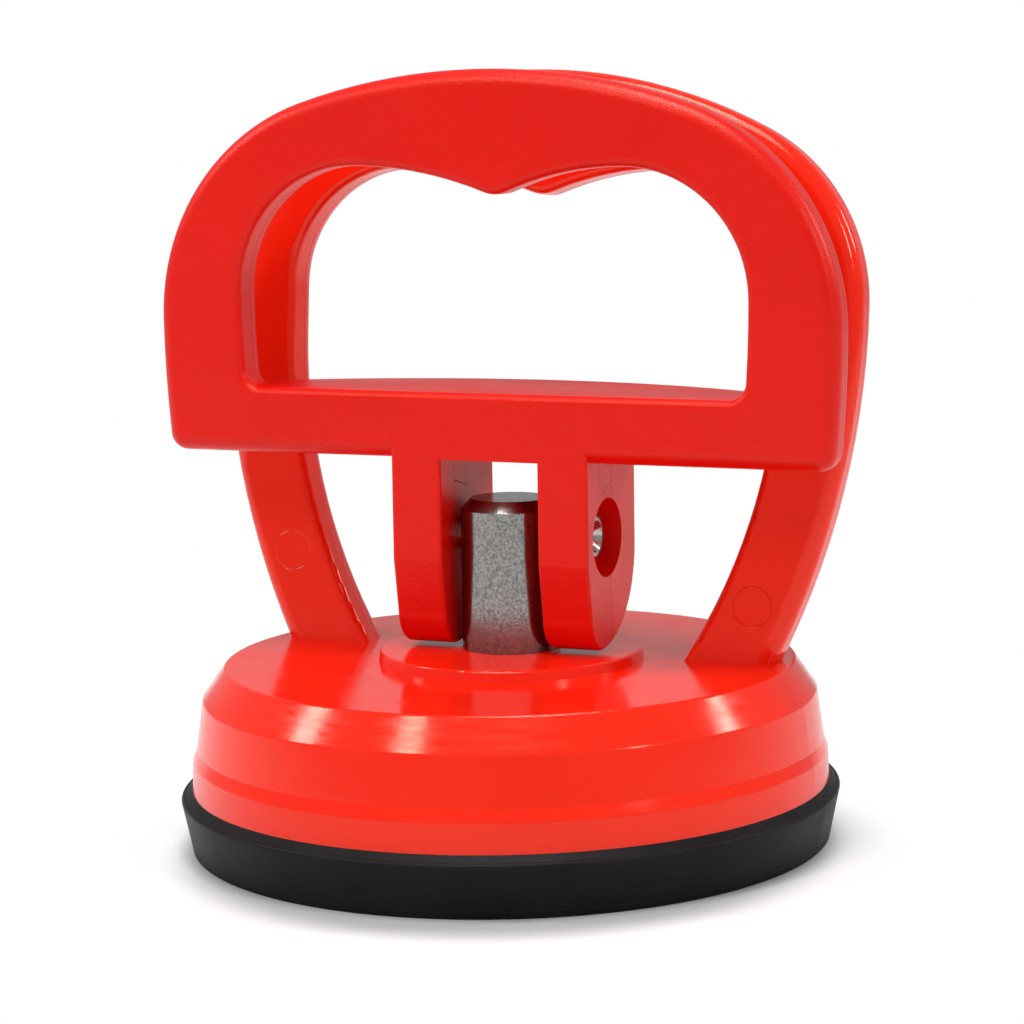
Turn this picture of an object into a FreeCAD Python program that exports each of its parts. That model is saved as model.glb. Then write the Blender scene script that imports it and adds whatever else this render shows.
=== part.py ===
"""Hand-held suction lifter for floor tiles: one rubber cup, a fixed grip and a cam lever.

Millimetres. The origin is the centre of the cup's sealing face, +Z is up, X runs across
the two grips and -Y is the side that the lever opens towards. The lever is shown closed.
"""
import FreeCAD, Part
import Sketcher
import math
import os

Vector = FreeCAD.Vector
Rotation = FreeCAD.Rotation
Placement = FreeCAD.Placement

# ---------------------------------------------------------------- driving dimensions

SIZES = {
    # rubber cup
    "rim_reach": 1.95,             # how far the rubber rim stands out from the dome's skirt
    "rim_draft": 1.8,              # how far the rim draws in down to the sealing face
    "lip_radius": 44.0,            # where the flat sealing face ends and the hollow starts
    "hollow_depth": 3.0,           # depth of the hollow under the cup, lever closed
    "rim_height": 9.45,             # top of the visible rubber rim
    "rim_round": 0.7,              # easing of the rim's top edge
    "land_height": 10.5,           # face that the dome's skirt presses on
    "land_width": 9.0,
    "web_height": 7.0,             # top of the thin rubber web
    "collar_height": 11.6,         # rubber collar round the backing plate
    "collar_width": 3.4,
    # backing plate
    "plate_radius": 20.0,
    "plate_thickness": 2.0,
    "plate_bottom": 8.9,
    "soft_gap": 0.3,               # clearance between the steel and the rubber
    # dome
    "skirt_radius": 57.05,         # each radius above it is stepped in from this one
    "skirt_draft": 0.25,
    "skirt_top": 15.65,
    "ledge_width": 0.75,
    "wall_foot": 17.8,
    "wall_draft": 1.15,
    "wall_top": 26.4,
    "chamfer_width": 4.0,
    "dome_height": 32.1,
    "dome_wall": 3.0,
    "dome_edge_round": 0.6,
    "boss_radius": 23.5,
    "boss_flare": 0.3,
    "boss_rise": 1.95,
    "boss_edge_round": 0.4,
    "sleeve_wall": 3.4,
    "sleeve_bottom": 17.4,
    "rib_thickness": 2.0,
    "rib_bottom": 20.9,
    "rib_count": 6,
    # fixed grip, measured up its own leaning plane from the dome's top
    "grip_lean": 5.2,              # degrees, away from the lever
    "grip_front": 4.5,             # front face at the dome's top
    "grip_depth": 10.4,
    "grip_root": 1.6,              # how far the arms reach down into the dome
    "grip_top": 105.6,
    "grip_half_width": 62.2,
    "grip_crown_radius": 95.0,
    "grip_shoulder_radius": 35.0,
    "grip_flank_radius": 146.0,
    "grip_window_half_width": 47.3,
    "grip_window_waist": 57.0,     # where the window's sides start to close downwards
    "grip_window_shoulder": 66.2,
    "grip_window_radius": 21.5,
    "grip_window_flank_radius": 106.0,
    "grip_cusp_drop": 4.7,
    # cam lever
    "lever_front": 9.8,            # front face ahead of the pivot
    "lever_depth": 10.0,
    "lever_top": 136.9,
    "lever_foot_half_width": 62.9,
    "lever_side_swell": 1.3,       # how far the sides stand out above the bar
    "lever_crown_radius": 116.0,
    "lever_shoulder_radius": 40.5,
    "lever_corner_radius": 3.2,
    "bar_bottom": 68.6,
    "bar_top": 80.5,
    "bar_back": 17.8,              # back of the bar behind the pivot, at the middle
    "bar_back_radius": 90.0,
    "lever_window_half_width": 47.9,
    "lever_window_foot_half_width": 47.2,
    "lever_window_shoulder": 97.5,
    "lever_window_radius": 22.6,
    "lever_window_corner_radius": 3.2,
    "lever_cusp_drop": 4.9,
    "cusp_tip_radius": 5.5,
    "cusp_aside": 1.6,             # the cusps stand a little to the right
    # section of both grips
    "outer_front_round": 2.8,      # along the outside of the front faces
    "window_front_round": 1.4,     # along the inside of the front faces
    "back_edge_round": 5.0,
    # legs of the lever
    "leg_outer": 18.6,
    "leg_inner": 9.2,
    "leg_back": 14.3,
    "leg_edge_round": 0.7,
    "foot_gap": 0.6,               # between the feet and the boss, lever closed
    "foot_front_inset": 1.6,       # the feet's front stands back from the bar's face
    "foot_taper_height": 50.5,     # where the legs start to taper
    "foot_nose_radius": 6.0,
    "foot_heel_radius": 17.0,
    # stud and pivot
    "stud_radius": 8.8,
    "stud_top": 61.1,
    "stud_chamfer": 1.9,
    "spigot_radius": 6.0,
    "guide_clearance": 0.08,
    "press_clearance": 0.02,
    "pivot_height": 54.6,
    "pin_radius": 3.0,
    "pivot_clearance": 0.05,
    "rivet_head_radius": 4.1,
    "rivet_head_thickness": 1.4,
    "rivet_dimple_radius": 2.9,
    "rivet_dimple_depth": 2.4,
    "rivet_end_play": 0.15,
    "counterbore_radius": 7.08,
    "counterbore_depth": 3.7,
}


class Size:
    """A value in millimetres together with the spreadsheet expression that gives it."""

    def __init__(self, value, text):
        self.value = float(value)
        self.text = text

    @staticmethod
    def of(other):
        return other if isinstance(other, Size) else Size(other, repr(other))

    def __add__(self, other):
        other = Size.of(other)
        return Size(self.value + other.value, f"({self.text} + {other.text})")

    def __sub__(self, other):
        other = Size.of(other)
        return Size(self.value - other.value, f"({self.text} - {other.text})")

    def __mul__(self, other):
        other = Size.of(other)
        return Size(self.value * other.value, f"({self.text} * {other.text})")

    def __truediv__(self, other):
        other = Size.of(other)
        return Size(self.value / other.value, f"({self.text} / {other.text})")

    def __neg__(self):
        return Size(-self.value, f"(0 - {self.text})")

    def root(self):
        return Size(math.sqrt(self.value), f"sqrt{self.text}")


ZERO = Size(0, "0")
doc = FreeCAD.newDocument("SuctionLifter")
sheet = doc.addObject("Spreadsheet::Sheet", "Sizes")
for row, (alias, number) in enumerate(SIZES.items(), start=1):
    sheet.set(f"A{row}", alias)
    sheet.set(f"B{row}", str(number))
    sheet.setAlias(f"B{row}", alias)
doc.recompute()


def size(alias):
    return Size(SIZES[alias], f"Sizes.{alias}")


# ---------------------------------------------------------------- drawing helpers


def new_body(label):
    body = doc.addObject("PartDesign::Body", label)
    body.Label = label
    return body


def new_sketch(body, name, plane, offset=ZERO, lean=None, raised=None):
    """Sketch on one of the body's own planes, moved along its normal by offset."""
    sketch = body.newObject("Sketcher::SketchObject", name)
    origin_plane = next(f for f in body.Origin.OriginFeatures if f.Role == plane)
    sketch.AttachmentSupport = (origin_plane, [""])
    sketch.MapMode = "FlatFace"
    turn = Rotation(Vector(1, 0, 0), lean.value if lean else 0)
    up = raised.value if raised else 0
    sketch.AttachmentOffset = Placement(Vector(0, up, offset.value), turn)
    sketch.setExpression("AttachmentOffset.Base.z", offset.text)
    if raised:
        sketch.setExpression("AttachmentOffset.Base.y", raised.text)
    if lean:
        sketch.setExpression("AttachmentOffset.Rotation.Angle", lean.text)
    return sketch


def pin_point(sketch, side, end, point):
    """Hold one end of a side at a point whose two coordinates follow the spreadsheet."""
    for kind, distance in zip(("DistanceX", "DistanceY"), point):
        rule = Sketcher.Constraint(kind, -1, 1, side, end, distance.value)
        index = sketch.addConstraint(rule)
        sketch.setExpression(f"Constraints[{index}]", distance.text)


def arc_side(start, finish, radius, turn):
    """Short arc from start to finish that bulges to the right of travel for turn 1, left for -1."""
    chord = finish - start
    half = chord.Length / 2
    left = Vector(-chord.y, chord.x, 0).normalize()
    centre = start + chord * 0.5 + left * (math.sqrt(radius * radius - half * half) * turn)
    first, last = (start, finish) if turn > 0 else (finish, start)
    begin = math.atan2(first.y - centre.y, first.x - centre.x)
    end = math.atan2(last.y - centre.y, last.x - centre.x)
    if end < begin:
        end += 2 * math.pi
    return Part.ArcOfCircle(Part.Circle(centre, Vector(0, 0, 1), radius), begin, end)


def draw_outline(sketch, corners, arcs=None):
    """Closed outline through corners. arcs[i] = (radius, turn) rounds the side after corner i."""
    arcs = arcs or {}
    points = [Vector(x.value, y.value, 0) for x, y in corners]
    count = len(points)
    ends = []
    for i, start in enumerate(points):
        finish = points[(i + 1) % count]
        if i in arcs:
            radius, turn = arcs[i]
            curve = arc_side(start, finish, radius.value, turn)
            side = sketch.addGeometry(curve)
            ends.append((side, 1, 2) if turn > 0 else (side, 2, 1))
            index = sketch.addConstraint(Sketcher.Constraint("Radius", side, radius.value))
            sketch.setExpression(f"Constraints[{index}]", radius.text)
        else:
            side = sketch.addGeometry(Part.LineSegment(start, finish))
            ends.append((side, 1, 2))
    for i, (side, first, last) in enumerate(ends):
        following, joint, _ = ends[(i + 1) % count]
        sketch.addConstraint(Sketcher.Constraint("Coincident", side, last, following, joint))
        pin_point(sketch, side, first, corners[i])


def draw_circle(sketch, centre, radius):
    side = sketch.addGeometry(Part.Circle(Vector(centre[0].value, centre[1].value, 0),
                                          Vector(0, 0, 1), radius.value))
    pin_point(sketch, side, 3, centre)
    index = sketch.addConstraint(Sketcher.Constraint("Radius", side, radius.value))
    sketch.setExpression(f"Constraints[{index}]", radius.text)


def revolve(body, name, sketch, axis="V_Axis"):
    turned = body.newObject("PartDesign::Revolution", name)
    turned.Profile = sketch
    turned.ReferenceAxis = (sketch, [axis])
    turned.Angle = 360
    return turned


def extrude(body, kind, name, sketch, length, backwards=False, both_sides=False):
    """Pad or Pocket of a bound length."""
    solid = body.newObject(f"PartDesign::{kind}", name)
    solid.Profile = sketch
    solid.Type = 0
    solid.Length = length.value
    solid.setExpression("Length", length.text)
    solid.Reversed = backwards
    solid.Midplane = both_sides
    doc.recompute()
    return solid


def round_edges(body, name, base, radius, wanted):
    """Fillet every edge of the base feature that the test picks."""
    doc.recompute()
    names = [f"Edge{i}" for i, edge in enumerate(base.Shape.Edges, start=1) if wanted(edge)]
    rounded = body.newObject("PartDesign::Fillet", name)
    rounded.Base = (base, names)
    rounded.Radius = radius.value
    rounded.setExpression("Radius", radius.text)
    doc.recompute()
    return rounded


def spread(edge):
    """Points along an edge, for picking it by where it lies."""
    first, last = edge.ParameterRange
    return [edge.valueAt(first + (last - first) * step / 6) for step in range(7)]


def arch(half_width, top, crown, shoulder):
    """Shoulder height and crown-to-shoulder joint of an arch of three tangent arcs."""
    reach = crown - shoulder
    side = half_width - shoulder
    rise = (reach * reach - side * side).root()
    shoulder_height = top - crown + rise
    joint = (crown * side / reach, top - crown + crown * rise / reach)
    return shoulder_height, joint


def window_top(half_width, shoulder_height, radius, drop, tip, aside):
    """Two finger lobes with a rounded cusp between them, as points from right to left.

    The cusp stands aside from the middle. Returns the corners from the right shoulder to the
    left one, with the arcs between them.
    """
    lobe = half_width - radius
    top = shoulder_height + radius

    def sweep(reach):
        span = (reach * reach + drop * drop) / (drop * 2)
        turn = span - tip
        return turn, reach - turn * reach / span, top - turn + turn * (span - drop) / span

    right, right_across, right_up = sweep(lobe - aside)
    left, left_across, left_up = sweep(lobe + aside)
    corners = [(half_width, shoulder_height), (lobe, top), (aside + right_across, right_up),
               (aside - left_across, left_up), (-lobe, top), (-half_width, shoulder_height)]
    arcs = [(radius, 1), (right, 1), (tip, -1), (left, 1), (radius, 1)]
    return corners, arcs


# ---------------------------------------------------------------- rubber cup and plate


def dome_radii():
    """Outer radii of the dome, from the skirt's foot up to the flat top."""
    skirt = size("skirt_radius")
    skirt_top = skirt - size("skirt_draft")
    wall_foot = skirt_top - size("ledge_width")
    wall_top = wall_foot - size("wall_draft")
    return skirt, skirt_top, wall_foot, wall_top, wall_top - size("chamfer_width")


def make_rubber_cup():
    body = new_body("rubber_cup")
    sketch = new_sketch(body, "cup_section", "XZ_Plane")
    depth = size("hollow_depth")
    lip = size("lip_radius")
    roof = (lip * lip + depth * depth) / (depth * 2)
    seat = size("plate_bottom") - size("soft_gap")
    pocket = size("plate_radius") + size("soft_gap")
    collar = pocket + size("collar_width")
    land = size("skirt_radius")
    web = land - size("land_width")
    rim = land + size("rim_reach")
    ease = size("rim_round")
    corners = [
        (ZERO, depth), (lip, ZERO), (rim - size("rim_draft"), ZERO),
        (rim, size("rim_height") - ease), (rim - ease, size("rim_height")),
        (land, size("land_height")), (web, size("land_height")),
        (web, size("web_height")), (collar, size("web_height")),
        (collar, size("collar_height")), (pocket, size("collar_height")),
        (pocket, seat), (ZERO, seat),
    ]
    draw_outline(sketch, corners, {0: (roof, -1), 3: (ease, 1)})
    revolve(body, "cup_turned", sketch)
    return body


def make_backing_plate():
    body = new_body("backing_plate")
    sketch = new_sketch(body, "plate_section", "XZ_Plane")
    bottom = size("plate_bottom")
    top = bottom + size("plate_thickness")
    hole = size("spigot_radius") + size("press_clearance")
    edge = size("plate_radius")
    draw_outline(sketch, [(hole, bottom), (edge, bottom), (edge, top), (hole, top)])
    revolve(body, "plate_turned", sketch)
    return body


# ---------------------------------------------------------------- stud and rivet


def make_lift_stud():
    body = new_body("lift_stud")
    sketch = new_sketch(body, "stud_section", "XZ_Plane")
    radius = size("stud_radius")
    chamfer = size("stud_chamfer")
    spigot = size("spigot_radius")
    bottom = size("plate_bottom")
    shoulder = bottom + size("plate_thickness")
    top = size("stud_top")
    draw_outline(sketch, [
        (ZERO, bottom), (spigot, bottom), (spigot, shoulder), (radius, shoulder),
        (radius, top - chamfer), (radius - chamfer, top), (ZERO, top),
    ])
    revolve(body, "stud_turned", sketch)
    bore = new_sketch(body, "pin_hole", "YZ_Plane")
    draw_circle(bore, (ZERO, size("pivot_height")), size("pin_radius") + size("press_clearance"))
    extrude(body, "Pocket", "pin_hole_cut", bore, radius * 3, both_sides=True)
    return body


def make_pivot_rivet():
    """Semi-tubular rivet: a low domed head on the left, a flared hollow end on the right."""
    body = new_body("pivot_rivet")
    sketch = new_sketch(body, "rivet_section", "XY_Plane")
    seat = size("leg_outer") - size("counterbore_depth") + size("rivet_end_play")
    end = seat + size("rivet_head_thickness")
    head = size("rivet_head_radius")
    shank = size("pin_radius")
    ease = size("rivet_head_thickness") / 2
    draw_outline(sketch, [
        (-end, ZERO), (-end, head - ease), (-seat - ease, head), (-seat, head), (-seat, shank),
        (seat, shank), (seat, head), (end - ease, head), (end, head - ease),
        (end, size("rivet_dimple_radius")), (end - size("rivet_dimple_depth"), ZERO),
    ], {1: (ease, -1), 7: (ease, -1)})
    revolve(body, "rivet_turned", sketch, axis="H_Axis")
    body.Placement = Placement(Vector(0, 0, SIZES["pivot_height"]), Rotation())
    body.setExpression("Placement.Base.z", "Sizes.pivot_height")
    return body


# ---------------------------------------------------------------- dome and fixed grip


def draw_grip(sketch):
    """Arched band of the fixed grip, drawn up its own leaning plane."""
    root = -size("grip_root")
    half = size("grip_half_width")
    flank = size("grip_flank_radius")
    shoulder, joint = arch(half, size("grip_top"), size("grip_crown_radius"),
                           size("grip_shoulder_radius"))
    drop = shoulder - root
    foot = half - flank + (flank * flank - drop * drop).root()
    window = size("grip_window_half_width")
    window_flank = size("grip_window_flank_radius")
    window_shoulder = size("grip_window_shoulder")
    waist = size("grip_window_waist")
    fall = waist - root
    window_foot = window - window_flank + (window_flank * window_flank - fall * fall).root()
    lobes, lobe_arcs = window_top(window, window_shoulder, size("grip_window_radius"),
                                  size("grip_cusp_drop"), size("cusp_tip_radius"),
                                  size("cusp_aside"))
    outside = [(foot, root), (half, shoulder), joint, (-joint[0], joint[1]),
               (-half, shoulder), (-foot, root)]
    outside_arcs = {0: (flank, 1), 1: (size("grip_shoulder_radius"), 1),
                    2: (size("grip_crown_radius"), 1), 3: (size("grip_shoulder_radius"), 1),
                    4: (flank, 1)}
    inside = [(-window_foot, root), (-window, waist)] + lobes[::-1] \
        + [(window, waist), (window_foot, root)]
    inside_arcs = {6: (window_flank, -1), 14: (window_flank, -1)}
    for i, (radius, turn) in enumerate(reversed(lobe_arcs), start=8):
        inside_arcs[i] = (radius, -turn)
    draw_outline(sketch, outside + inside, {**outside_arcs, **inside_arcs})


def make_dome():
    body = new_body("dome_and_grip")
    lean = -size("grip_lean")
    band = new_sketch(body, "grip_outline", "XZ_Plane", -size("grip_front"), lean,
                      size("dome_height"))
    draw_grip(band)
    grip = extrude(body, "Pad", "grip_band", band, size("grip_depth"), backwards=True)
    tilt = math.radians(SIZES["grip_lean"])
    away = Vector(0, math.cos(tilt), -math.sin(tilt))
    upwards = Vector(0, math.sin(tilt), math.cos(tilt))
    front = Vector(0, SIZES["grip_front"], SIZES["dome_height"])
    half = SIZES["grip_window_half_width"]
    lobes = SIZES["grip_window_shoulder"] + SIZES["grip_window_radius"]

    def on_face(edge, depth):
        return all(abs((p - front).dot(away) - depth) < 1e-3 for p in spread(edge)) \
            and max((p - front).dot(upwards) for p in spread(edge)) > -SIZES["grip_root"] + 1e-3

    def inside(edge):
        return all(abs(p.x) < half + 1e-3 and (p - front).dot(upwards) < lobes + 1e-3
                   for p in spread(edge))

    grip = round_edges(body, "grip_outer_rounds", grip, size("outer_front_round"),
                       lambda edge: on_face(edge, 0) and not inside(edge))
    grip = round_edges(body, "grip_window_rounds", grip, size("window_front_round"),
                       lambda edge: on_face(edge, 0) and inside(edge))
    grip = round_edges(body, "grip_back_rounds", grip, size("back_edge_round"),
                       lambda edge: on_face(edge, SIZES["grip_depth"]))
    section = new_sketch(body, "dome_section", "XZ_Plane")
    wall = size("dome_wall")
    bore = size("stud_radius") + size("guide_clearance")
    sleeve = bore + size("sleeve_wall")
    top = size("dome_height")
    boss_top = top + size("boss_rise")
    boss = size("boss_radius")
    skirt, skirt_top, wall_foot, wall_top, flat = dome_radii()
    draw_outline(section, [
        (skirt, size("land_height")), (skirt_top, size("skirt_top")),
        (wall_foot, size("wall_foot")), (wall_top, size("wall_top")), (flat, top),
        (boss + size("boss_flare"), top), (boss, boss_top), (bore, boss_top),
        (bore, size("sleeve_bottom")), (sleeve, size("sleeve_bottom")), (sleeve, top - wall),
        (flat - wall / 2, top - wall), (wall_top - wall, size("wall_top") - wall / 2),
        (skirt - wall, size("land_height")),
    ])
    dome = revolve(body, "dome_turned", section)
    rib = new_sketch(body, "rib_outline", "XZ_Plane")
    reach = wall_foot - wall / 2
    draw_outline(rib, [
        (sleeve - wall / 2, size("rib_bottom")), (reach, size("rib_bottom")),
        (wall_top - wall / 2, size("wall_top") - wall / 2),
        (flat - wall / 2, top - wall / 2), (sleeve - wall / 2, top - wall / 2),
    ])
    web = extrude(body, "Pad", "rib_web", rib, size("rib_thickness"), both_sides=True)
    ring = body.newObject("PartDesign::PolarPattern", "rib_ring")
    ring.Originals = [web]
    ring.Axis = (section, ["V_Axis"])
    ring.Angle = 360
    ring.Occurrences = SIZES["rib_count"]
    ring.setExpression("Occurrences", "Sizes.rib_count")
    body.Tip = ring
    doc.recompute()
    dome_top = SIZES["dome_height"]
    boss_edge = (SIZES["boss_radius"], dome_top + SIZES["boss_rise"])
    rings = [(wall_top.value, SIZES["wall_top"]), (skirt_top.value, SIZES["skirt_top"]),
             (flat.value, dome_top)]

    def is_ring(edge, spots):
        return any(all(abs(math.hypot(p.x, p.y) - r) < 1e-3 and abs(p.z - z) < 1e-3
                       for p in spread(edge)) for r, z in spots)

    body.Tip = round_edges(body, "dome_rounds", ring, size("dome_edge_round"),
                           lambda edge: is_ring(edge, rings))
    body.Tip = round_edges(body, "boss_round", body.Tip, size("boss_edge_round"),
                           lambda edge: is_ring(edge, [boss_edge]))
    return body


# ---------------------------------------------------------------- cam lever


def draw_lever_loop(sketch):
    foot = size("lever_foot_half_width")
    half = foot + size("lever_side_swell")
    bottom = size("bar_bottom")
    shoulder, joint = arch(half, size("lever_top"), size("lever_crown_radius"),
                           size("lever_shoulder_radius"))
    inset = half - foot
    rise = shoulder - bottom
    flank = (inset * inset + rise * rise) / (inset * 2)
    draw_outline(sketch, [
        (-foot, bottom), (foot, bottom), (half, shoulder), joint,
        (-joint[0], joint[1]), (-half, shoulder),
    ], {1: (flank, 1), 2: (size("lever_shoulder_radius"), 1), 3: (size("lever_crown_radius"), 1),
        4: (size("lever_shoulder_radius"), 1), 5: (flank, 1)})


def draw_lever_window(sketch):
    half = size("lever_window_half_width")
    foot = size("lever_window_foot_half_width")
    floor = size("bar_top")
    shoulder = size("lever_window_shoulder")
    inset = half - foot
    rise = shoulder - floor
    flank = (inset * inset + rise * rise) / (inset * 2)
    lobes, lobe_arcs = window_top(half, shoulder, size("lever_window_radius"),
                                  size("lever_cusp_drop"), size("cusp_tip_radius"),
                                  size("cusp_aside"))
    arcs = {1: (flank, 1), 7: (flank, 1)}
    for i, arc in enumerate(lobe_arcs, start=2):
        arcs[i] = arc
    draw_outline(sketch, [(-foot, floor), (foot, floor)] + lobes, arcs)


def draw_leg(sketch):
    """Side view of a leg: flat front, rounded nose, cam-shaped heel and flat back."""
    front = -size("lever_front")
    toe = front + size("foot_front_inset")
    back = size("leg_back")
    nose = size("foot_nose_radius")
    heel = size("foot_heel_radius")
    bottom = size("dome_height") + size("boss_rise") + size("foot_gap")
    nose_centre = (toe + nose, bottom + nose)
    reach = heel - nose
    shift = nose_centre[0] - (back - heel)
    rise = (reach * reach - shift * shift).root()
    heel_centre = (back - heel, nose_centre[1] + rise)
    joint = (heel_centre[0] + heel * shift / reach, heel_centre[1] - heel * rise / reach)
    root = (size("bar_bottom") + size("bar_top")) / 2
    draw_outline(sketch, [
        (front, root), (front, size("foot_taper_height")), (toe, nose_centre[1]), joint,
        (back, heel_centre[1]), (back, root),
    ], {2: (nose, 1), 3: (heel, 1)})


def make_cam_lever():
    body = new_body("cam_lever")
    front = size("lever_front")
    loop = new_sketch(body, "loop_outline", "XZ_Plane", front)
    draw_lever_loop(loop)
    lever = extrude(body, "Pad", "loop_slab", loop, size("lever_depth"), backwards=True)
    foot = SIZES["lever_foot_half_width"]
    floor = SIZES["bar_top"]
    window_foot = SIZES["lever_window_foot_half_width"]

    def is_corner(edge, across, up):
        return all(abs(abs(p.x) - across) < 1e-3 and abs(p.z - up) < 1e-3 for p in spread(edge))

    lever = round_edges(body, "loop_corners", lever, size("lever_corner_radius"),
                        lambda edge: is_corner(edge, foot, SIZES["bar_bottom"]))
    window = new_sketch(body, "window_outline", "XZ_Plane", front)
    draw_lever_window(window)
    lever = extrude(body, "Pocket", "window_cut", window, size("lever_depth") * 2)
    lever = round_edges(body, "window_corners", lever, size("lever_window_corner_radius"),
                        lambda edge: is_corner(edge, window_foot, floor))

    def at_depth(edge, depth):
        return all(abs(p.y - depth) < 1e-3 for p in spread(edge))

    front_face = -SIZES["lever_front"]
    half = SIZES["lever_window_half_width"]
    lobes = SIZES["lever_window_shoulder"] + SIZES["lever_window_radius"]

    def inside(edge):
        return all(abs(p.x) < half + 1e-3 and p.z < lobes + 1e-3 for p in spread(edge))

    lever = round_edges(body, "loop_outer_rounds", lever, size("outer_front_round"),
                        lambda edge: at_depth(edge, front_face) and not inside(edge))
    lever = round_edges(body, "loop_window_rounds", lever, size("window_front_round"),
                        lambda edge: at_depth(edge, front_face) and inside(edge))
    lever = round_edges(body, "loop_back_rounds", lever, size("back_edge_round"),
                        lambda edge: at_depth(edge, SIZES["lever_depth"] - SIZES["lever_front"]))
    bulge = new_sketch(body, "bar_back_outline", "XY_Plane", size("bar_bottom"))
    sweep = size("bar_back_radius")
    back = size("bar_back")
    inside = size("lever_depth") / 2 - front
    drop = back - inside
    half = (sweep * drop * 2 - drop * drop).root()
    draw_outline(bulge, [(-half, inside), (half, inside)], {1: (sweep, 1)})
    lever = extrude(body, "Pad", "bar_back_swell", bulge, size("bar_top") - size("bar_bottom"))
    leg = new_sketch(body, "leg_side", "YZ_Plane")
    draw_leg(leg)
    extrude(body, "Pad", "leg_block", leg, size("leg_outer") * 2, both_sides=True)
    gap = new_sketch(body, "leg_gap", "XZ_Plane", front * 3)
    inner = size("leg_inner")
    draw_outline(gap, [(-inner, ZERO), (inner, ZERO), (inner, size("bar_bottom")),
                       (-inner, size("bar_bottom"))])
    lever = extrude(body, "Pocket", "leg_gap_cut", gap, front * 8)
    bore = new_sketch(body, "pivot_bore", "YZ_Plane")
    draw_circle(bore, (ZERO, size("pivot_height")), size("pin_radius") + size("pivot_clearance"))
    extrude(body, "Pocket", "pivot_bore_cut", bore, size("leg_outer") * 3, both_sides=True)
    for name, reversed_cut, sign in (("right", True, 1), ("left", False, -1)):
        face = size("leg_outer") * sign
        ring = new_sketch(body, f"{name}_counterbore", "YZ_Plane", face)
        draw_circle(ring, (ZERO, size("pivot_height")), size("counterbore_radius"))
        lever = extrude(body, "Pocket", f"{name}_counterbore_cut", ring,
                        size("counterbore_depth"), backwards=not reversed_cut)
    leg_out = SIZES["leg_outer"]
    leg_in = SIZES["leg_inner"]

    def is_leg_edge(edge):
        points = spread(edge)
        on_side = all(abs(abs(p.x) - leg_out) < 1e-3 for p in points) \
            or all(abs(abs(p.x) - leg_in) < 1e-3 for p in points)
        low = max(p.z for p in points) < SIZES["bar_bottom"] - 1e-3 or \
            min(p.z for p in points) < SIZES["pivot_height"]
        outline = all(math.hypot(p.y, p.z - SIZES["pivot_height"]) > SIZES["counterbore_radius"] + 0.1
                      for p in points)
        return on_side and low and outline and edge.Length > 1

    body.Tip = round_edges(body, "leg_rounds", lever, size("leg_edge_round"), is_leg_edge)
    return body


# ---------------------------------------------------------------- build, check, write

parts = [make_dome(), make_cam_lever(), make_lift_stud(), make_backing_plate(),
         make_pivot_rivet(), make_rubber_cup()]
doc.recompute()
for item in doc.Objects:
    if "Invalid" in item.State or "Error" in item.State:
        raise RuntimeError(f"{item.Label} did not build: {item.State}")
os.makedirs("parts", exist_ok=True)
for body in parts:
    shape = body.Shape
    if shape.isNull() or not shape.isValid() or len(shape.Solids) != 1:
        raise RuntimeError(f"{body.Label} is not one valid solid")
    box = shape.BoundBox
    print(f"{body.Label}: {shape.Volume:.1f} mm3, x {box.XMin:.2f}..{box.XMax:.2f}, "
          f"y {box.YMin:.2f}..{box.YMax:.2f}, z {box.ZMin:.2f}..{box.ZMax:.2f}")
    shape.exportStep(f"parts/{body.Label}.step")
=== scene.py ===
import bmesh
import bpy
import math
from mathutils import Matrix, Vector


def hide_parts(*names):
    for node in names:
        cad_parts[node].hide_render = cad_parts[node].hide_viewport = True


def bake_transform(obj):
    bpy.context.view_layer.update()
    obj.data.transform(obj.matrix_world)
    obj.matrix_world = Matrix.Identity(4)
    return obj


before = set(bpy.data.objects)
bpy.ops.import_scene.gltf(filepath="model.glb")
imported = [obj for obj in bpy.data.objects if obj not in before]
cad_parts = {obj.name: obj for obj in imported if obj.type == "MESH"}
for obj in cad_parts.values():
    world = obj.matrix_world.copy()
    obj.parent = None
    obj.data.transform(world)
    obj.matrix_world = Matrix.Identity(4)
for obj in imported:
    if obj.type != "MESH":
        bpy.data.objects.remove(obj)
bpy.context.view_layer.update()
print("stage 1: frame loaded")

cameraSetup = {
    "azimuth": 17.77, "elevation": 7.16, "roll": -0.22,  # degrees round the lifter
    "distance": 0.5143,  # metres from the point aimed at
    "aimRight": 0.0466, "aimUp": 0.06644,
    "sensor": 36, "lens": 101.25,  # mm
    "shiftX": -0.2522, "shiftY": -0.0447,
    "clip": (0.01, 20),
}


def towards(turn, lift):
    # unit vector from the lifter, turned from its front and lifted off the floor, in radians
    flat = math.cos(lift)
    return Vector((math.sin(turn) * flat, -math.cos(turn) * flat, math.sin(lift)))


def placeCamera(setup):
    turn, lift, roll = (math.radians(setup[name]) for name in ("azimuth", "elevation", "roll"))
    back = towards(turn, lift)
    level = Vector((math.cos(turn), math.sin(turn), 0.0))
    up = back.cross(level)
    right = math.cos(roll) * level + math.sin(roll) * up
    top = -math.sin(roll) * level + math.cos(roll) * up
    aim = setup["aimRight"] * level + Vector((0, 0, setup["aimUp"]))
    spot = aim + back * setup["distance"]
    data = bpy.data.cameras.new("camera")
    data.sensor_width = setup["sensor"]
    data.lens = setup["lens"]
    data.shift_x, data.shift_y = setup["shiftX"], setup["shiftY"]
    data.clip_start, data.clip_end = setup["clip"]
    camera = bpy.data.objects.new("camera", data)
    bpy.context.scene.collection.objects.link(camera)
    turned = Matrix((right, top, back)).transposed().to_4x4()
    camera.matrix_world = Matrix.Translation(spot) @ turned
    bpy.context.scene.camera = camera


placeCamera(cameraSetup)
bpy.context.scene.view_settings.view_transform = "Standard"
print("stage 2: camera placed")


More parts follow.
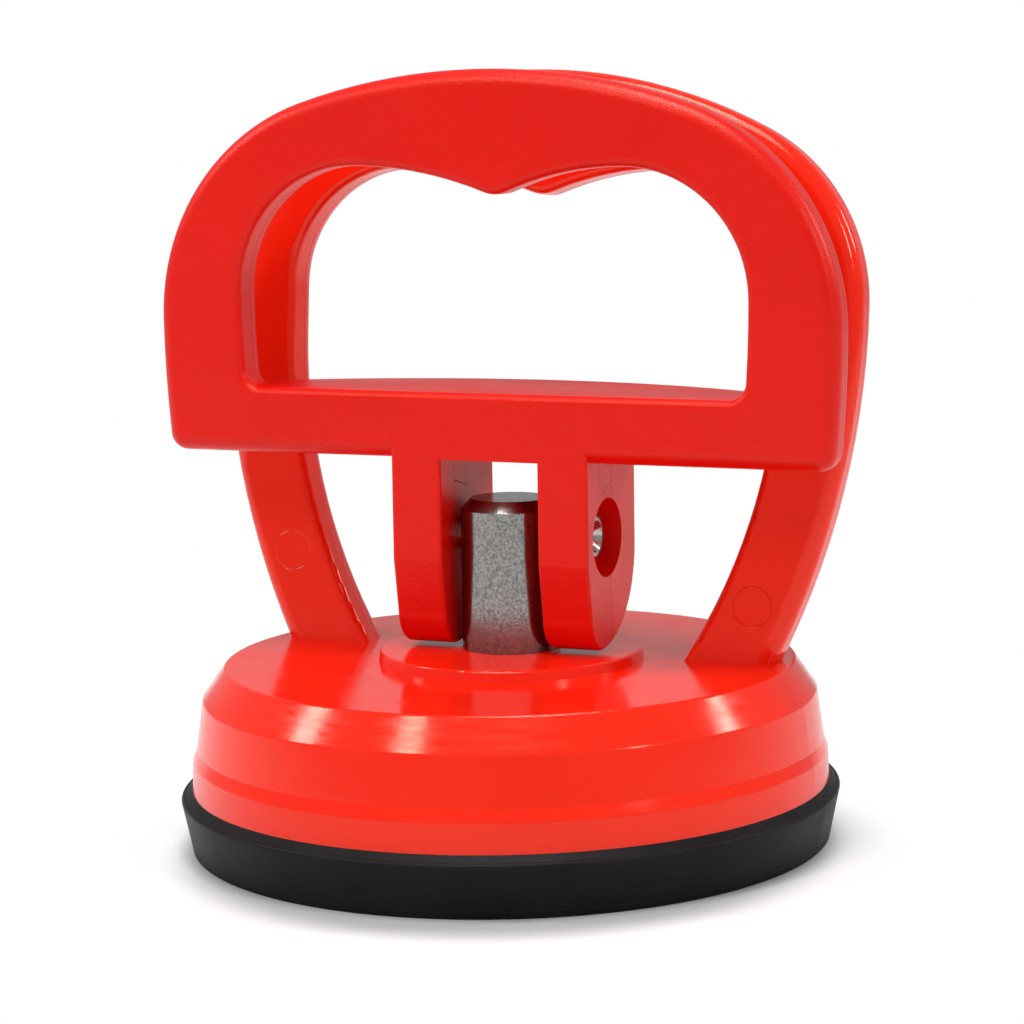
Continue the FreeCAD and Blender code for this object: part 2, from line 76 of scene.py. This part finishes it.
def newMaterial(name):
    material = bpy.data.materials.new(name)
    material.use_nodes = True
    tree = material.node_tree
    return material, tree, tree.nodes["Principled BSDF"]


def addNode(tree, kind, **settings):
    node = tree.nodes.new(kind)
    for key, value in settings.items():
        if key in node.inputs:
            node.inputs[key].default_value = value
        else:
            setattr(node, key, value)
    return node


def maths(tree, operation, *values):
    node = addNode(tree, "ShaderNodeMath", operation=operation)
    for index, value in enumerate(values):
        if isinstance(value, (int, float)):
            node.inputs[index].default_value = value
        else:
            tree.links.new(value, node.inputs[index])
    return node.outputs[0]


def rampOver(tree, value, start, end, low, high, kind="SMOOTHSTEP"):
    ramp = addNode(tree, "ShaderNodeMapRange", interpolation_type=kind)
    tree.links.new(value, ramp.inputs["Value"])
    for key, number in {"From Min": start, "From Max": end, "To Min": low, "To Max": high}.items():
        ramp.inputs[key].default_value = number
    return ramp.outputs["Result"]


def noise(tree, place, **settings):
    node = addNode(tree, "ShaderNodeTexNoise", **settings)
    tree.links.new(place, node.inputs["Vector"])
    return node.outputs["Fac"]


def colourRamp(tree, value, stops, low, high):
    # colour low up to the first stop, and high from the second
    ramp = addNode(tree, "ShaderNodeValToRGB")
    for element, stop, colour in zip(ramp.color_ramp.elements, stops, (low, high)):
        element.position = stop
        element.color = (*colour, 1)
    tree.links.new(value, ramp.inputs["Fac"])
    return ramp.outputs["Color"]


def setRoughness(tree, shader, value, low, high):
    shine = rampOver(tree, value, 0.3, 0.7, low, high, kind="LINEAR")
    tree.links.new(shine, shader.inputs["Roughness"])


def setBump(tree, shader, height):
    # heights are in millimetres
    bump = addNode(tree, "ShaderNodeBump", Strength=1.0, Distance=0.001)
    tree.links.new(height, bump.inputs["Height"])
    tree.links.new(bump.outputs["Normal"], shader.inputs["Normal"])


def sumOf(tree, *pairs):
    total = None
    for value, weight in pairs:
        part = maths(tree, "MULTIPLY", value, weight)
        total = part if total is None else maths(tree, "ADD", total, part)
    return total


def distanceFrom(tree, place, point):
    length = addNode(tree, "ShaderNodeVectorMath", operation="DISTANCE")
    tree.links.new(place, length.inputs[0])
    length.inputs[1].default_value = point
    return length.outputs["Value"]


def lineAt(tree, value, at, width):
    # 1 where the value is at, falling smoothly to 0 at half the width
    away = maths(tree, "ABSOLUTE", maths(tree, "SUBTRACT", value, at))
    return rampOver(tree, away, 0.0, width / 2, 1.0, 0.0)


def within(tree, value, low, high):
    away = maths(tree, "ABSOLUTE", maths(tree, "SUBTRACT", value, (low + high) / 2))
    return maths(tree, "LESS_THAN", away, (high - low) / 2)


def seamLine(tree, place, seam):
    # a mould line where a plane cuts the surface, kept inside a box if it has one
    flat = addNode(tree, "ShaderNodeVectorMath", operation="DOT_PRODUCT")
    tree.links.new(place, flat.inputs[0])
    flat.inputs[1].default_value = seam["across"]
    line = lineAt(tree, flat.outputs["Value"], seam["at"], seam["width"])
    if "inside" in seam:
        split = addNode(tree, "ShaderNodeSeparateXYZ")
        tree.links.new(place, split.inputs[0])
        for axis, (low, high) in seam["inside"].items():
            line = maths(tree, "MULTIPLY", line, within(tree, split.outputs[axis], low, high))
    return line


def pinMark(tree, place, mark):
    # the round witness that an ejector pin leaves on a face
    away = distanceFrom(tree, place, mark["centre"])
    return lineAt(tree, away, mark["radius"], mark["width"])


def mouldedPlastic(name, looks):
    material, tree, shader = newMaterial(name)
    shader.inputs["IOR"].default_value = 1.5
    shader.inputs["Specular IOR Level"].default_value = looks["specular"]
    shader.inputs["Specular Tint"].default_value = (*looks["specularTint"], 1)
    place = addNode(tree, "ShaderNodeTexCoord").outputs["Object"]
    cloud = noise(tree, place, Scale=looks["cloudScale"], Detail=3.0, Roughness=0.5)
    plain = colourRamp(tree, cloud, (0.3, 0.7), looks["deepColour"], looks["colour"])
    marks = [(seamLine(tree, place, seam), seam["depth"]) for seam in looks["seams"]]
    marks += [(pinMark(tree, place, mark), mark["depth"]) for mark in looks["pinMarks"]]
    lines = sumOf(tree, *marks)
    # dirt and shade in the lines; sockets 0, 6 and 7 are the factor and the two colours
    tint = addNode(tree, "ShaderNodeMix", data_type="RGBA", blend_type="MULTIPLY")
    tree.links.new(maths(tree, "MINIMUM", lines, 1.0), tint.inputs[0])
    tree.links.new(plain, tint.inputs[6])
    tint.inputs[7].default_value = (*looks["lineTint"], 1)
    tree.links.new(tint.outputs[2], shader.inputs["Base Color"])
    # worn and flow-marked patches shine a little differently
    stretched = addNode(tree, "ShaderNodeMapping")
    stretched.inputs["Scale"].default_value = looks["patchStretch"]
    tree.links.new(place, stretched.inputs["Vector"])
    patch = noise(tree, stretched.outputs["Vector"],
                  Scale=looks["patchScale"], Detail=4.0, Roughness=0.6)
    setRoughness(tree, shader, patch, *looks["roughness"])
    # grain of the mould's skin, then the slower waves of the moulding
    fine = noise(tree, place, Scale=looks["grainScale"], Detail=2.0, Roughness=0.6)
    height = sumOf(tree, (fine, looks["grainHeight"]), (patch, looks["waveHeight"]))
    sunk = maths(tree, "MULTIPLY", lines, looks["lineHeight"])
    setBump(tree, shader, maths(tree, "SUBTRACT", height, sunk))
    return material


def platedSteel(name, looks):
    material, tree, shader = newMaterial(name)
    shader.inputs["Metallic"].default_value = 1.0
    place = addNode(tree, "ShaderNodeTexCoord").outputs["Object"]
    speckle = noise(tree, place, Scale=looks["speckleScale"], Detail=4.0, Roughness=0.65)
    colour = colourRamp(tree, speckle, (0.36, 0.62), looks["dullColour"], looks["colour"])
    tree.links.new(colour, shader.inputs["Base Color"])
    bright, dull = looks["roughness"]
    setRoughness(tree, shader, speckle, dull, bright)
    peel = noise(tree, place, Scale=looks["peelScale"], Detail=2.0, Roughness=0.5)
    setBump(tree, shader, sumOf(tree, (speckle, looks["speckleHeight"]), (peel, looks["peelHeight"])))
    return material


def blackRubber(name, looks):
    material, tree, shader = newMaterial(name)
    shader.inputs["Specular IOR Level"].default_value = looks["specular"]
    place = addNode(tree, "ShaderNodeTexCoord").outputs["Object"]
    bloom = noise(tree, place, Scale=looks["bloomScale"], Detail=4.0, Roughness=0.55)
    colour = colourRamp(tree, bloom, (0.35, 0.7), looks["colour"], looks["bloomColour"])
    tree.links.new(colour, shader.inputs["Base Color"])
    setRoughness(tree, shader, bloom, *looks["roughness"])
    fine = noise(tree, place, Scale=looks["grainScale"], Detail=2.0)
    # the line that the two halves of the mould leave near the foot
    seam = seamLine(tree, place, looks["seam"])
    setBump(tree, shader, sumOf(tree, (fine, looks["grainHeight"]), (seam, looks["seam"]["depth"])))
    return material


def dress(node, material):
    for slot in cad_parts[node].material_slots:
        slot.material = material


legFace = 0.0190  # metres from the middle, just past a cam leg's outer face
legFaces = (-legFace, legFace)

leverLooks = {
    "colour": (0.70, 0.0025, 0.0010), "deepColour": (0.65, 0.0019, 0.0007), "cloudScale": 30.0,
    "lineTint": (0.72, 0.35, 0.35),
    "specular": 0.36, "specularTint": (1.0, 0.80, 0.60), "roughness": (0.30, 0.40),
    "patchScale": 60.0, "patchStretch": (1.0, 1.0, 1.0),
    "grainScale": 2400.0, "grainHeight": 0.07, "waveHeight": 0.02, "lineHeight": 0.12,
    "pinMarks": [],
    "seams": [
        # parting line round the hand loop
        {"across": (0, 1, 0), "at": -0.0052, "width": 0.00035, "depth": 0.6,
         "inside": {"Z": (0.0684, 0.2)}},
        # lines on the side faces of the cam legs, with a small step near the top
        {"across": (0, 1, 0), "at": 0.0012, "width": 0.0003, "depth": 0.8,
         "inside": {"X": legFaces, "Z": (0.030, 0.0475)}},
        {"across": (0, 1, 0), "at": 0.0022, "width": 0.0003, "depth": 0.8,
         "inside": {"X": legFaces, "Z": (0.0618, 0.0685)}},
        {"across": (0, 1, 0), "at": -0.0036, "width": 0.0003, "depth": 1.0,
         "inside": {"X": legFaces, "Z": (0.0636, 0.0685)}},
        {"across": (0, -0.35, 1), "at": 0.0637, "width": 0.0003, "depth": 1.0,
         "inside": {"X": (0.0, legFace), "Y": (-0.0036, 0.0022)}},
        {"across": (0, 0.28, 1), "at": 0.0633, "width": 0.0003, "depth": 1.0,
         "inside": {"X": (-legFace, 0.0), "Y": (-0.0036, 0.0022)}},
    ],
}
dress("cam_lever", mouldedPlastic("leverPlastic", leverLooks))

gripLean = math.radians(5.2)
housingLooks = {
    "colour": (0.87, 0.0165, 0.0040), "deepColour": (0.81, 0.0130, 0.0031), "cloudScale": 24.0,
    "lineTint": (0.80, 0.45, 0.45),
    "specular": 0.42, "specularTint": (1.0, 0.82, 0.62), "roughness": (0.08, 0.22),
    "patchScale": 420.0, "patchStretch": (0.35, 0.35, 2.2),
    "grainScale": 2200.0, "grainHeight": 0.006, "waveHeight": 0.016, "lineHeight": 0.10,
    "pinMarks": [
        {"centre": (-0.0466, 0.0060, 0.0486), "radius": 0.0036, "width": 0.00035, "depth": 0.7},
        {"centre": (0.0437, 0.0054, 0.0424), "radius": 0.0036, "width": 0.00035, "depth": 0.7},
    ],
    "seams": [
        # parting line of the fixed grip, which leans back with it
        {"across": (0, math.cos(gripLean), -math.sin(gripLean)), "at": 0.0063,
         "width": 0.00035, "depth": 0.6, "inside": {"Z": (0.034, 0.2)}},
        # short line on the top of the dome
        {"across": (0, 1, 0), "at": 0.0030, "width": 0.0003, "depth": 0.7,
         "inside": {"X": (0.0238, 0.050), "Z": (0.0318, 0.0326)}},
    ],
}
dress("dome_and_grip", mouldedPlastic("housingPlastic", housingLooks))

studLooks = {
    "colour": (0.31, 0.30, 0.29), "dullColour": (0.155, 0.15, 0.145), "roughness": (0.10, 0.26),
    "speckleScale": 2000.0, "speckleHeight": 0.012, "peelScale": 900.0, "peelHeight": 0.01,
}
dress("lift_stud", platedSteel("studSteel", studLooks))

rivetLooks = {
    "colour": (0.50, 0.48, 0.45), "dullColour": (0.36, 0.34, 0.31), "roughness": (0.14, 0.26),
    "speckleScale": 900.0, "speckleHeight": 0.006, "peelScale": 400.0, "peelHeight": 0.02,
}
dress("pivot_rivet", platedSteel("rivetSteel", rivetLooks))

plateLooks = {
    "colour": (0.60, 0.60, 0.60), "dullColour": (0.40, 0.40, 0.41), "roughness": (0.28, 0.42),
    "speckleScale": 700.0, "speckleHeight": 0.010, "peelScale": 300.0, "peelHeight": 0.02,
}
dress("backing_plate", platedSteel("plateSteel", plateLooks))

cupLooks = {
    "colour": (0.0055, 0.0055, 0.006), "bloomColour": (0.010, 0.010, 0.0105),
    "bloomScale": 70.0,
    "specular": 0.12, "roughness": (0.42, 0.56), "grainScale": 1800.0, "grainHeight": 0.012,
    "seam": {"across": (0, 0, 1), "at": 0.0009, "width": 0.0004, "depth": 0.08},
}
dress("rubber_cup", blackRubber("cupRubber", cupLooks))

cupParts = {
    "count": 12,  # sectors
    "hubRadius": 0.024, "rimRadius": 0.046,
}


def splitCup(parts):
    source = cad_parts["rubber_cup"]
    step = 2 * math.pi / parts["count"]
    for index in range(parts["count"]):
        middle = index * step
        sector = bpy.data.objects.new(f"cupSector{index + 1}", source.data.copy())
        bpy.context.scene.collection.objects.link(sector)
        shape = bmesh.new()
        shape.from_mesh(sector.data)
        for side in (-1, 1):
            edge = middle + side * step / 2
            outward = (-side * math.sin(edge), side * math.cos(edge), 0.0)
            bmesh.ops.bisect_plane(
                shape, geom=shape.verts[:] + shape.edges[:] + shape.faces[:],
                plane_co=(0, 0, 0), plane_no=outward, clear_outer=True)
        shape.to_mesh(sector.data)
        shape.free()
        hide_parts("rubber_cup")
        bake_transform(sector)


splitCup(cupParts)
print("stage 3: finishes set")

floorLooks = {
    "colour": 0.84, "roughness": 0.9, "reach": 4.0,
    "drop": 0.0002,  # below the cup's foot
    "middle": (0.004, -0.012, 0.0),  # the distances below are from here, in metres
    "paintedShadowColour": 0.39, "paintedShadowFrom": 0.049, "paintedShadowTo": 0.062,  # painted contact shadow, darker at the cup's front
    "fadeFrom": 0.053, "fadeTo": 0.072,  # where the floor turns plain white
    "mirroredWhite": 0.12,  # share of that white in reflections
}


def addFloor(looks):
    mesh = bpy.data.meshes.new("floor")
    reach = looks["reach"]
    corners = [(-reach, -reach, 0), (reach, -reach, 0), (reach, reach, 0), (-reach, reach, 0)]
    mesh.from_pydata(corners, [], [(0, 1, 2, 3)])
    floor = bpy.data.objects.new("floor", mesh)
    floor.location.z = -looks["drop"]
    bpy.context.scene.collection.objects.link(floor)
    material, tree, shader = newMaterial("paleFloor")
    shader.inputs["Roughness"].default_value = looks["roughness"]
    shader.inputs["Specular IOR Level"].default_value = 0.0
    place = addNode(tree, "ShaderNodeTexCoord").outputs["Object"]
    away = distanceFrom(tree, place, looks["middle"])
    # painted contact shadow: the floor colour darkens towards the cup's foot
    paintedShadowTone = rampOver(tree, away, looks["paintedShadowFrom"], looks["paintedShadowTo"],
                    looks["paintedShadowColour"], looks["colour"])
    tree.links.new(paintedShadowTone, shader.inputs["Base Color"])
    fade = rampOver(tree, away, looks["fadeFrom"], looks["fadeTo"], 0.0, 1.0)
    path = addNode(tree, "ShaderNodeLightPath")
    mirrored = maths(tree, "MULTIPLY", path.outputs["Is Glossy Ray"], looks["mirroredWhite"])
    beyond = maths(tree, "MAXIMUM", path.outputs["Is Transmission Ray"], mirrored)
    seen = maths(tree, "MAXIMUM", path.outputs["Is Camera Ray"], beyond)
    white = addNode(tree, "ShaderNodeEmission", Strength=1.0)
    mix = addNode(tree, "ShaderNodeMixShader")
    tree.links.new(maths(tree, "MULTIPLY", seen, fade), mix.inputs[0])
    tree.links.new(shader.outputs[0], mix.inputs[1])
    tree.links.new(white.outputs[0], mix.inputs[2])
    tree.links.new(mix.outputs[0], tree.nodes["Material Output"].inputs["Surface"])
    mesh.materials.append(material)


lampAim = Vector((0, 0, 0.04))
lampSetup = {
    # name: (degrees round from the front, degrees up, width, height, watts), all 1 m from the aim
    "leftBox": (-70, 33, 0.13, 0.34, 2.2),
    "leftFrontBox": (-26, 44, 0.12, 0.30, 2.0),
    "rightBox": (118, 28, 0.12, 0.24, 1.9),
    "rightFrontBox": (69, 29, 0.10, 0.20, 1.4),
    "topBox": (10, 74, 0.50, 0.50, 5.2),
    "highBox": (0, 88, 0.26, 0.26, 1.7),
}


def addLamp(name, turn, lift, width, height, watts):
    spot = lampAim + towards(math.radians(turn), math.radians(lift))
    data = bpy.data.lights.new(name, "AREA")
    data.shape = "RECTANGLE"
    data.size, data.size_y = width, height
    data.energy = watts
    lamp = bpy.data.objects.new(name, data)
    lamp.location = spot
    lamp.rotation_euler = (lampAim - spot).to_track_quat("-Z", "Y").to_euler()
    bpy.context.scene.collection.objects.link(lamp)


# strength of the white backdrop as a light, in reflections and where it is seen
backdrop = {"light": 0.36, "mirrored": 0.42, "seen": 1.0}


def setWorld(looks):
    world = bpy.data.worlds.new("studio")
    bpy.context.scene.world = world
    world.use_nodes = True
    tree = world.node_tree
    background = tree.nodes["Background"]
    background.inputs["Color"].default_value = (1, 1, 1, 1)
    path = addNode(tree, "ShaderNodeLightPath")
    seen = maths(tree, "MAXIMUM", path.outputs["Is Camera Ray"], path.outputs["Is Transmission Ray"])
    lit = maths(tree, "MULTIPLY_ADD", path.outputs["Is Glossy Ray"],
                looks["mirrored"] - looks["light"], looks["light"])
    strength = maths(tree, "MULTIPLY_ADD", seen, looks["seen"] - looks["light"], lit)
    tree.links.new(strength, background.inputs["Strength"])


addFloor(floorLooks)
setWorld(backdrop)
for name, values in lampSetup.items():
    addLamp(name, *values)
print("stage 4: floor and lights set")
